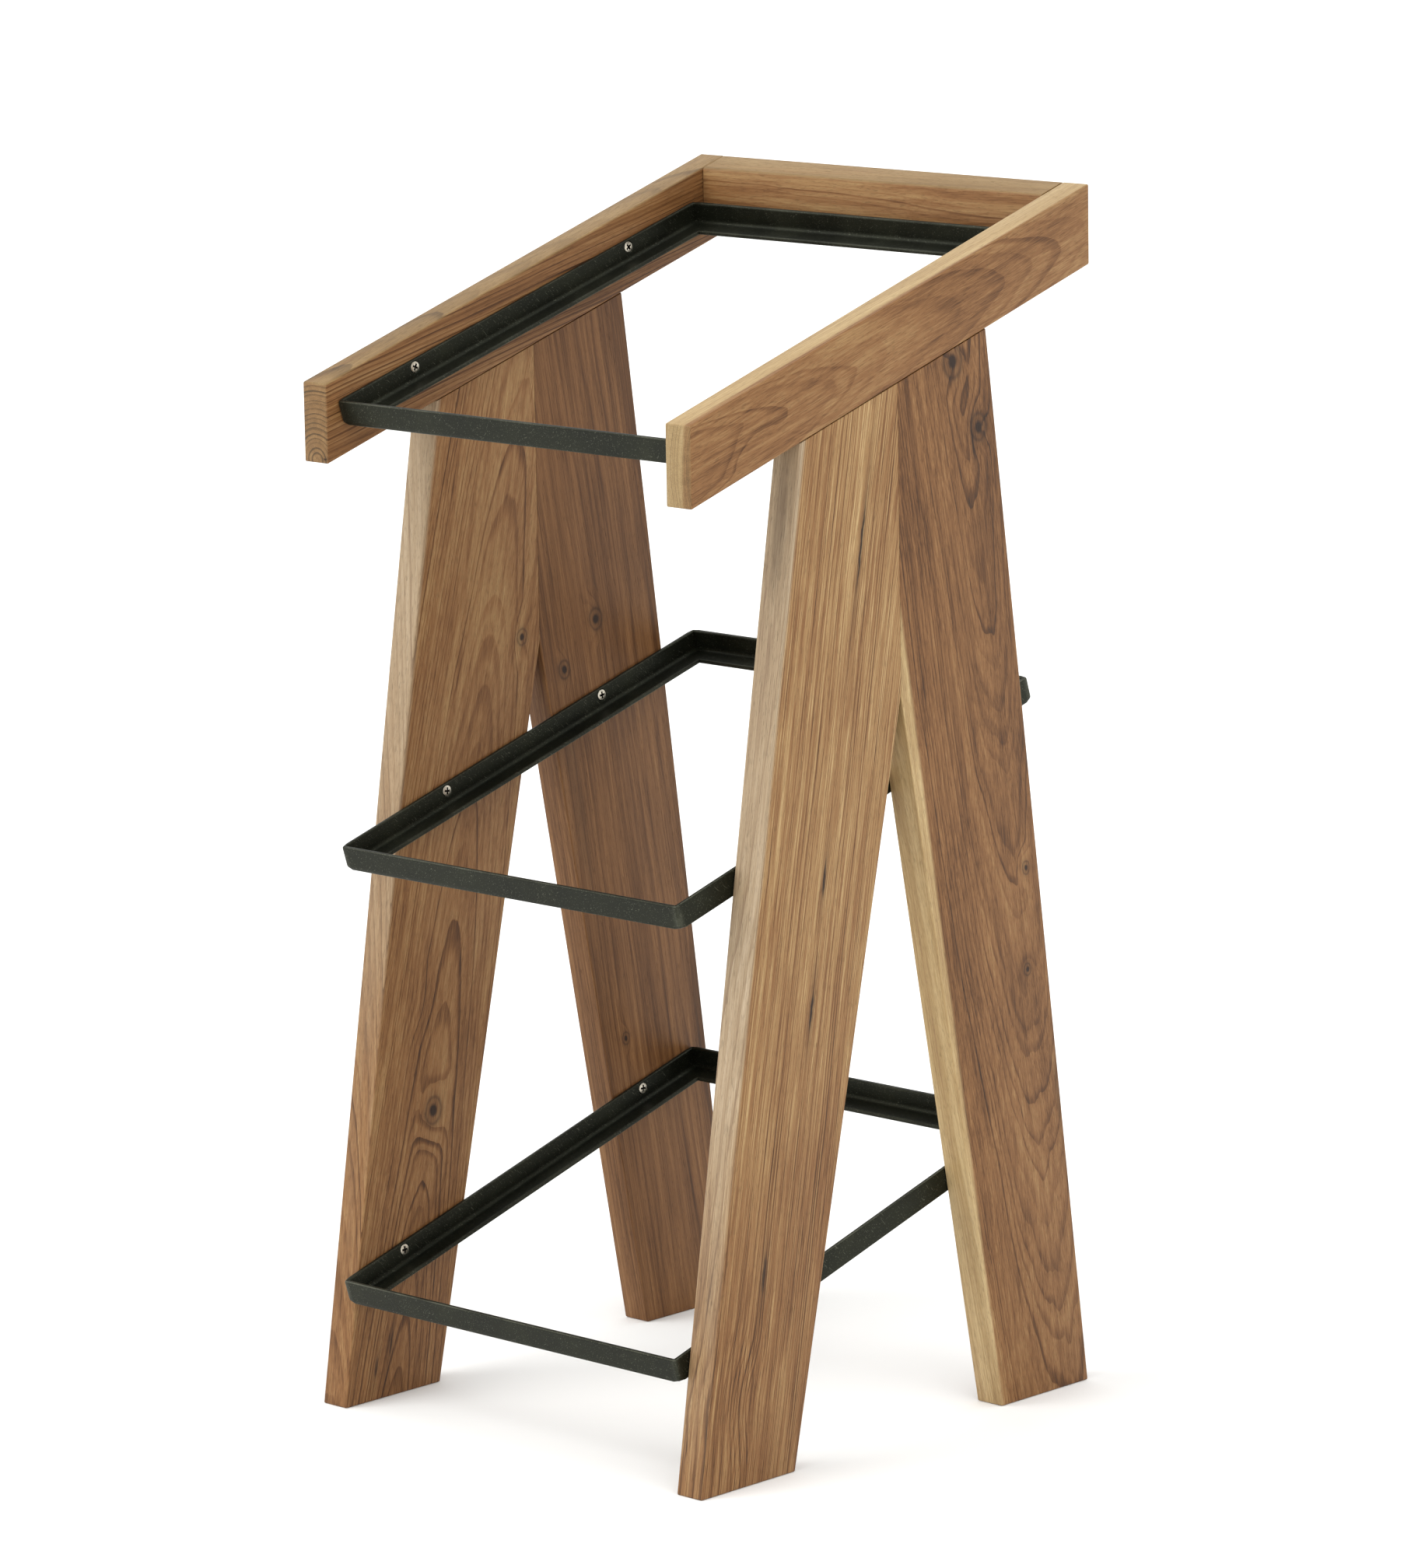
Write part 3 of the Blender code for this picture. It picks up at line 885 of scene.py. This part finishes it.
for name, obj in boards.items():
    obj.data.materials.clear()
    obj.data.materials.append(walnut("oiled_walnut_" + name, **WOOD[name]))
print("wood given to", len(boards), "boards")

# %% [markdown]
# ## Steel frames
# Each frame is four lengths of hot-rolled equal angle, mitred, welded at the corners and ground
# flush, then blackened. So it is one piece, and its shape follows a rule: the angle's section
# goes round a rectangle. A Curve to Mesh sweep would pinch the section at each square corner,
# so these Geometry Nodes lay a grid out by formula instead, one column for each step round the
# rectangle and one row for each point of the section. A point further in than the corner's
# radius meets on the mitre, and the outer skin goes round the corner on a small arc.


# %% The angle's section
GUARD = 0.35 * MM


def eased_outline(points):
    """(x, y, radius, steps, wear) corners to (x, y, wear) points, with two
    guard points beside each arc, so that the paling of an edge, partly wear and partly a painted
    highlight, doesn't spread over the flat beside it."""
    made = []
    count = len(points)
    for i, (x, y, radius, steps, wear) in enumerate(points):
        here = Vector((x, y))
        back = (Vector(points[i - 1][:2]) - here).normalized()
        ahead = (Vector(points[(i + 1) % count][:2]) - here).normalized()
        start, end = here + back * radius, here + ahead * radius
        centre = here + (back + ahead) * radius
        made.append((*(start + back * GUARD), 0.0))
        for step in range(steps + 1):
            turn = step / steps * math.pi / 2
            arm = (start - centre) * math.cos(turn) + (end - centre) * math.sin(turn)
            made.append((*(centre + arm), wear))
        made.append((*(end + ahead * GUARD), 0.0))
    return made


TOE = 1.2 * MM
HEEL_STEPS = 4
HEEL_POINTS = HEEL_STEPS + 3  # its arc and two guards
# each corner's last number pales its arc: edge wear, and partly a painted highlight on the rounded
# arris
SECTION = eased_outline(
    [
        (0, 0, 0.7 * MM, HEEL_STEPS, 0.3),
        (ANGLE, 0, 0.45 * MM, 2, 0.5),
        (ANGLE, THICK, TOE, 4, 0.2),
        (THICK, THICK, 3.0 * MM, 6, 0.0),
        (THICK, ANGLE, TOE, 4, 0.2),
        (0, ANGLE, 0.45 * MM, 2, 0.7),
    ]
)
# more points, for the ground corners to bend at: down the outer face and in under the bar
FROM_TOP = (1.4, 2.0, 2.6)
FROM_HEEL = (1.7, 2.4, 3.1, 3.8)
SECTION += [(0, ANGLE - drop * MM, 0.0) for drop in FROM_TOP]
SECTION += [(0, rise * MM, 0.0) for rise in reversed(FROM_HEEL)]
SECTION[HEEL_POINTS:HEEL_POINTS] = [(run * MM, 0, 0.0) for run in FROM_HEEL]
print("section points:", len(SECTION))


# %% The frame tree
def new_tree(name, inputs):
    tree = bpy.data.node_groups.new(name, "GeometryNodeTree")
    tree.interface.new_socket("Geometry", in_out="INPUT", socket_type="NodeSocketGeometry")
    for label, kind in inputs:
        tree.interface.new_socket(label, in_out="INPUT", socket_type="NodeSocket" + kind)
    tree.interface.new_socket("Geometry", in_out="OUTPUT", socket_type="NodeSocketGeometry")
    return tree, add_node(tree, "NodeGroupInput").outputs, add_node(tree, "NodeGroupOutput")


def named(tree, kind, name):
    """An attribute of the geometry, found by its name."""
    settings, inputs = {"data_type": kind}, {"Name": name}
    return result(tree, "GeometryNodeInputNamedAttribute", settings, inputs)


def close_tree(tree, geometry, material, out):
    """Makes instances real, gives them their material and leads them out of the tree."""
    real = result(tree, "GeometryNodeRealizeInstances", inputs={0: geometry})
    dress = {"Geometry": real, "Material": material}
    tree.links.new(result(tree, "GeometryNodeSetMaterial", inputs=dress), out.inputs[0])
    return tree


def set_inputs(modifier, values):
    """Sets a Geometry Nodes modifier's inputs, found by name and set by identifier."""
    for item in modifier.node_group.interface.items_tree:
        if item.item_type == "SOCKET" and item.in_out == "INPUT" and item.name in values:
            modifier[item.identifier] = values[item.name]


CORNER_STEPS = 5
# how pale the outer skin down each corner is painted, as a highlight
CORNER_HIGHLIGHT = 0.35
SKIN = 0.2 * MM  # how far in a point of the section still counts as outer face
GROUND_RUN = 4 * MM  # how far along each bar the grinding of a corner fades out


def mitred_frame_tree():
    """A grid with a column for each step round the frame and a row for each section point."""
    tree, given, out = new_tree(
        "welded_angle_frame",
        [
            ("Half Width", "Float"),
            ("Half Depth", "Float"),
            ("Corner Radius", "Float"),
            ("Ground Below", "Float"),
            ("Ground Above", "Float"),
            ("Tilt", "Vector"),
            ("Base", "Vector"),
            ("Material", "Material"),
        ],
    )
    section = given["Geometry"]
    count = result(tree, "GeometryNodeAttributeDomainSize", inputs={0: section})
    rows = maths(tree, "ADD", count, 1)
    corner_columns = CORNER_STEPS + 3  # its arc's columns, and one on each bar beside it
    columns = 4 * corner_columns
    sides = {"Vertices X": columns + 1, "Vertices Y": rows}
    grid = result(tree, "GeometryNodeMeshGrid", inputs=sides, output="Mesh")
    index = result(tree, "GeometryNodeInputIndex")
    row = maths(tree, "MODULO", maths(tree, "MODULO", index, rows), count)
    column = maths(tree, "FLOOR", maths(tree, "DIVIDE", index, rows))
    column = maths(tree, "MODULO", column, columns)

    def of_section(value, kind):
        return result(
            tree,
            "GeometryNodeSampleIndex",
            {"data_type": kind, "domain": "POINT"},
            {"Geometry": section, "Value": value, "Index": row},
        )

    at = of_section(result(tree, "GeometryNodeInputPosition"), "FLOAT_VECTOR")
    at = add_node(tree, "ShaderNodeSeparateXYZ", inputs={0: at}).outputs
    worn_and_highlit = of_section(named(tree, "FLOAT", "wear"), "FLOAT")

    quarter = maths(tree, "FLOOR", maths(tree, "DIVIDE", column, corner_columns))
    step = maths(tree, "MODULO", column, corner_columns)
    right_angle = math.pi / 2
    start = maths(tree, "MULTIPLY", quarter, right_angle)
    arc_step = maths(tree, "MAXIMUM", maths(tree, "SUBTRACT", step, 1), 0)
    arc_step = maths(tree, "MINIMUM", arc_step, CORNER_STEPS)
    turn = maths(tree, "MULTIPLY_ADD", arc_step, right_angle / CORNER_STEPS, start)
    middle = maths(tree, "ADD", start, right_angle / 2)
    before = maths(tree, "LESS_THAN", step, 0.5)
    after = maths(tree, "GREATER_THAN", step, CORNER_STEPS + 1.5)
    slide = maths(tree, "MULTIPLY", maths(tree, "SUBTRACT", after, before), GROUND_RUN)
    on_corner = maths(tree, "SUBTRACT", maths(tree, "SUBTRACT", 1, before), after)

    def ground(inward, height, rim, radius, sign):
        """Pushes the points near a corner's rim back onto a ball of that radius."""
        aside = maths(tree, "MAXIMUM", maths(tree, "SUBTRACT", radius, inward), 0)
        beyond = maths(tree, "MAXIMUM", maths(tree, "SUBTRACT", radius, rim), 0)
        square = sum_of(tree, multiply(tree, beyond, beyond), aside, aside)
        far_out = maths(tree, "MAXIMUM", maths(tree, "SQRT", square), radius)
        share = maths(tree, "SUBTRACT", 1, maths(tree, "DIVIDE", radius, far_out))
        share = multiply(tree, share, on_corner)
        lift = multiply(tree, multiply(tree, beyond, sign), share)
        return sum_of(tree, inward, aside, share), maths(tree, "ADD", height, lift)

    drop = maths(tree, "SUBTRACT", ANGLE, at[1])
    inward, height = ground(at[0], at[1], at[1], given["Ground Below"], 1)
    inward, height = ground(inward, height, drop, given["Ground Above"], -1)
    inside = maths(tree, "SUBTRACT", given["Corner Radius"], inward)
    on_arc = maths(tree, "GREATER_THAN", inside, 0.0)
    places = []
    for operation, half, other, sign in (
        ("COSINE", given["Half Width"], "SINE", -1),
        ("SINE", given["Half Depth"], "COSINE", 1),
    ):
        way = maths(tree, "SIGN", maths(tree, operation, middle))
        arm = result(
            tree,
            "GeometryNodeSwitch",
            {"input_type": "FLOAT"},
            {"Switch": on_arc, "False": way, "True": maths(tree, operation, turn)},
        )
        corner = maths(tree, "MULTIPLY", way, maths(tree, "SUBTRACT", half, given["Corner Radius"]))
        place = maths(tree, "MULTIPLY_ADD", arm, inside, corner)
        along = maths(tree, "MULTIPLY", maths(tree, other, turn), sign)
        places.append(maths(tree, "MULTIPLY_ADD", along, slide, place))
    depth = maths(tree, "ADD", places[1], given["Half Depth"])
    place = result(tree, "ShaderNodeCombineXYZ", inputs={0: places[0], 1: depth, 2: height})
    # painted highlight: the outer skin down each rounded corner is paled, as a lit corner looks
    outer = maths(tree, "MULTIPLY", maths(tree, "LESS_THAN", at[0], SKIN), on_corner)
    worn_and_highlit = maths(tree, "MAXIMUM", worn_and_highlit, maths(tree, "MULTIPLY", outer, CORNER_HIGHLIGHT))
    moved = {"Geometry": grid, "Position": place}
    laid = result(tree, "GeometryNodeSetPosition", inputs=moved)
    marked = result(
        tree,
        "GeometryNodeStoreNamedAttribute",
        {"data_type": "FLOAT", "domain": "POINT"},
        {"Geometry": laid, "Name": "wear", "Value": worn_and_highlit},
    )
    near = {"Geometry": marked, "Distance": 0.005 * MM}
    welded = result(tree, "GeometryNodeMergeByDistance", inputs=near)
    lean = {"Geometry": welded, "Translation": given["Base"], "Rotation": given["Tilt"]}
    tilted = result(tree, "GeometryNodeTransform", inputs=lean)
    return close_tree(tree, tilted, given["Material"], out)


frame_tree = mitred_frame_tree()
print("frame tree nodes:", len(frame_tree.nodes))

# %% [markdown]
# ## Blackened steel
# Hot-rolled steel with an oil-blackened skin and a thin wax: a green-black that is satin in the
# light, with cloudy patches, fine scratches, and paler metal along the edges, partly worn by
# handling and partly a painted highlight, with a painted highlight down each rounded corner.


# %% Blackened steel
def blackened_steel():
    made, tree, shader = new_material("blackened_hot_rolled_steel")
    here = object_point(tree)
    cloud = noise_of(tree, stretched(tree, here, 45 * MM, 45 * MM), 4, 0.6)[0]
    grit = noise_of(tree, stretched(tree, here, 1.4 * MM, 1.4 * MM), 2, 0.6)[0]
    skin = ramp_of(tree, cloud, ((0.25, "#15170f"), (0.55, "#202218"), (0.80, "#2b2d21")))
    scratch = 0.0
    for turn, long in ((0.5, 34 * MM), (-0.9, 22 * MM), (1.35, 28 * MM)):
        way = (turn * 0.4, turn * 0.7, turn)
        lie = add_node(tree, "ShaderNodeMapping", inputs={"Vector": here, "Rotation": way})
        hair = noise_of(tree, stretched(tree, lie.outputs[0], long, 0.7 * MM), 0)[0]
        scratch = sum_of(tree, scratch, fade(tree, hair, 0.745, 0.80, 0, 1))
    edge = add_node(tree, "ShaderNodeAttribute", {"attribute_name": "wear"}).outputs["Fac"]
    rub = fade(tree, sum_of(tree, cloud, grit, 0.5), 0.62, 0.95, 0.25, 1)
    worn_and_highlit = sum_of(tree, multiply(tree, edge, rub), scratch, 0.5)
    # paler metal: real edge wear and scratches, plus a painted highlight on the arrises and down
    # the corners
    metal = mixed(tree, clamped(tree, worn_and_highlit), skin, colour("#5f6053"))
    tree.links.new(metal, shader.inputs["Base Color"])
    shader.inputs["Metallic"].default_value = 0.7
    shader.inputs["Specular IOR Level"].default_value = 0.35
    rough = sum_of(tree, 0.30, cloud, 0.22)
    tree.links.new(sum_of(tree, rough, grit, 0.08), shader.inputs["Roughness"])
    roughen(tree, shader, 0.25, 0.05 * MM, grit)
    return made


steel = blackened_steel()
print("steel ready")

# %% Frames
CORNER_RADIUS = 2.4 * MM
GROUND_BELOW = 3.6 * MM
GROUND_ABOVE = 1.8 * MM
SECTION_LOOP = [(i, (i + 1) % len(SECTION)) for i in range(len(SECTION))]
for name, base in FRAME_BASES.items():
    section_mesh = bpy.data.meshes.new(name + "_welded")
    section_mesh.from_pydata([(x, y, 0) for x, y, _ in SECTION], SECTION_LOOP, [])
    wear = section_mesh.attributes.new("wear", "FLOAT", "POINT")
    wear.data.foreach_set("value", [w for _, _, w in SECTION])
    made = bpy.data.objects.new(name + "_welded", section_mesh)
    bpy.context.scene.collection.objects.link(made)
    sweep = made.modifiers.new("sweep", "NODES")
    sweep.node_group = frame_tree
    set_inputs(
        sweep,
        {
            "Half Width": INNER_X - GAP,
            "Half Depth": FRAME_DEPTH / 2,
            "Corner Radius": CORNER_RADIUS,
            "Ground Below": GROUND_BELOW,
            "Ground Above": GROUND_ABOVE,
            "Tilt": (FRAME_TILT, 0, 0),
            "Base": (0, *base),
            "Material": steel,
        },
    )
    applied(made)
    finished(made)
    drilled(made, [put(turned(rings), place, way) for rings, place, way in holes[name]])
    finished(made)
    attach(made, BODY)
    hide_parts(*[f"{name}_{side}_bar" for side in ("front", "back", "left", "right")])
    print(name, len(made.data.polygons), "faces,", [m.name for m in made.data.materials])

# %% [markdown]
# ## Screws
# Twelve countersunk wood screws, nickel plated, with a cross recess. One screw is turned and its
# recess cut once, and Geometry Nodes stand it on twelve points, each turned at random, because
# a real screw stops wherever it happens to be tight.

# %% One screw
HEAD_R = 4.2 * MM
CORE_R = 1.45 * MM
THREAD_R = 1.9 * MM
PITCH = 1.6 * MM
FIRST_THREAD = -15 * MM
PLAIN_SHANK = -6.5 * MM
RECESS_HALF = 3.0 * MM
RECESS_ARM = 0.85 * MM


def thread_rings():
    """Ridges from the point up to the plain shank, lowest first."""
    ridge = ((CORE_R, 0), (THREAD_R, 0.35), (THREAD_R, 0.5), (CORE_R, 0.85))
    rings = []
    z = FIRST_THREAD
    while z < PLAIN_SHANK:
        rings += [(radius, z + PITCH * share) for radius, share in ridge]
        z += PITCH
    return rings


def cross_recess():
    """A plus that narrows as it goes down."""
    outlines = []
    for height, share in ((-2.2 * MM, 0.30), (-1.4 * MM, 0.78), (1.0 * MM, 1.0)):
        half, arm = RECESS_HALF * share, RECESS_ARM * (0.5 + share / 2)
        plus = []
        for turn in range(4):
            quarter = Matrix.Rotation(math.pi / 2 * turn, 2)
            plus += [quarter @ Vector(p) for p in ((half, -arm), (half, arm), (arm, arm))]
        outlines.append([(*p, height) for p in plus])
    return lofted(outlines)


screw_rings = [(0.15 * MM, -19 * MM), (CORE_R * 0.8, -16 * MM)] + thread_rings()
screw_rings += [
    (1.8 * MM, -5.4 * MM),
    (1.8 * MM, -2.7 * MM),
    (HEAD_R - 0.05 * MM, -0.32 * MM),
    (HEAD_R, -0.22 * MM),
    (HEAD_R, -0.10 * MM),
    (HEAD_R - 0.12 * MM, 0.02 * MM),
    (HEAD_R * 0.75, 0.18 * MM),
    (HEAD_R * 0.40, 0.25 * MM),
]
screw_bm = turned(screw_rings)
bmesh.ops.recalc_face_normals(screw_bm, faces=screw_bm.faces)
one_screw = drilled(new_object("one_screw", screw_bm), [cross_recess()])
print("one screw has", len(one_screw.data.polygons), "faces")


# %% Nickel
def nickel_plate():
    """Bright plating, slightly warm, dulled by handling, with painted shade down in the recess."""
    made, tree, shader = new_material("bright_nickel_plate")
    here = object_point(tree)
    smear = noise_of(tree, stretched(tree, here, 2.2 * MM, 2.2 * MM), 3, 0.6)[0]
    plate = ramp_of(tree, smear, ((0.3, "#b3ab9a"), (0.7, "#e2dccd")))
    outward = result(tree, "ShaderNodeSeparateXYZ", inputs={0: here})
    outward = maths(tree, "ABSOLUTE", outward)
    # painted shade: below the head's top face, in the cross recess, the plating is darkened to near
    # black
    recess_shade = fade(tree, outward, BAR_FACE_X + 0.05 * MM, BAR_FACE_X + 0.4 * MM, 0, 1)
    tree.links.new(mixed(tree, recess_shade, plate, colour("#1d1a16")), shader.inputs["Base Color"])
    shader.inputs["Metallic"].default_value = 1.0
    tree.links.new(sum_of(tree, 0.18, smear, 0.25), shader.inputs["Roughness"])
    return made


nickel = nickel_plate()


# %% Screws on their points
def screw_tree():
    sockets = [("Screw", "Object"), ("Seed", "Int"), ("Material", "Material")]
    tree, given, out = new_tree("turned_screws", sockets)
    facing = {"Vector": named(tree, "FLOAT_VECTOR", "facing")}
    stand = result(tree, "FunctionNodeAlignRotationToVector", {"axis": "Z"}, facing)
    source = {"Object": given["Screw"]}
    screw = result(tree, "GeometryNodeObjectInfo", inputs=source, output="Geometry")
    spots = {"Points": given["Geometry"], "Instance": screw, "Rotation": stand}
    placed = result(tree, "GeometryNodeInstanceOnPoints", inputs=spots)
    # sockets 2 and 3 are the least and the most of a plain number, which is output 1
    limits = {2: 0.0, 3: math.pi / 2, "Seed": given["Seed"]}
    chance = result(tree, "FunctionNodeRandomValue", {"data_type": "FLOAT"}, limits, 1)
    turn = result(tree, "ShaderNodeCombineXYZ", inputs={2: chance})
    spin = {"Instances": placed, "Rotation": turn, "Local Space": True}
    spun = result(tree, "GeometryNodeRotateInstances", inputs=spin)
    return close_tree(tree, spun, given["Material"], out)


points = bpy.data.meshes.new("frame_screws")
points.from_pydata([face for _, face, _ in screws], [], [])
facing = points.attributes.new("facing", "FLOAT_VECTOR", "POINT")
facing.data.foreach_set("vector", [v for _, _, way in screws for v in way])
frame_screws = bpy.data.objects.new("frame_screws", points)
bpy.context.scene.collection.objects.link(frame_screws)
stand = frame_screws.modifiers.new("screws", "NODES")
stand.node_group = screw_tree()
set_inputs(stand, {"Screw": one_screw, "Seed": 7, "Material": nickel})
applied(frame_screws)
bpy.data.objects.remove(one_screw, do_unlink=True)
finished(frame_screws)
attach(frame_screws, BODY)
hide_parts(*[name for name, _, _ in screws])
print("screws:", len(screws), "with", len(frame_screws.data.polygons), "faces")

# %% [markdown]
# ## Dowels
# The hidden pins are beech: pale, close-grained, with small darker flecks. Their CAD shapes
# stay, and only their material changes.


# %% Beech
def beech():
    made, tree, shader = new_material("turned_beech")
    fleck = noise_of(tree, stretched(tree, object_point(tree), 6 * MM, 1.2 * MM), 3, 0.6)[0]
    pale = ramp_of(tree, fleck, ((0.3, "#b98d5e"), (0.7, "#d8b488")))
    tree.links.new(pale, shader.inputs["Base Color"])
    shader.inputs["Roughness"].default_value = 0.7
    return made


pin_wood = beech()
pins = [node for name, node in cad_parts.items() if "_dowel" in name]
for pin in pins:
    pin.data.materials.clear()
    pin.data.materials.append(pin_wood)
print("dowels:", len(pins))
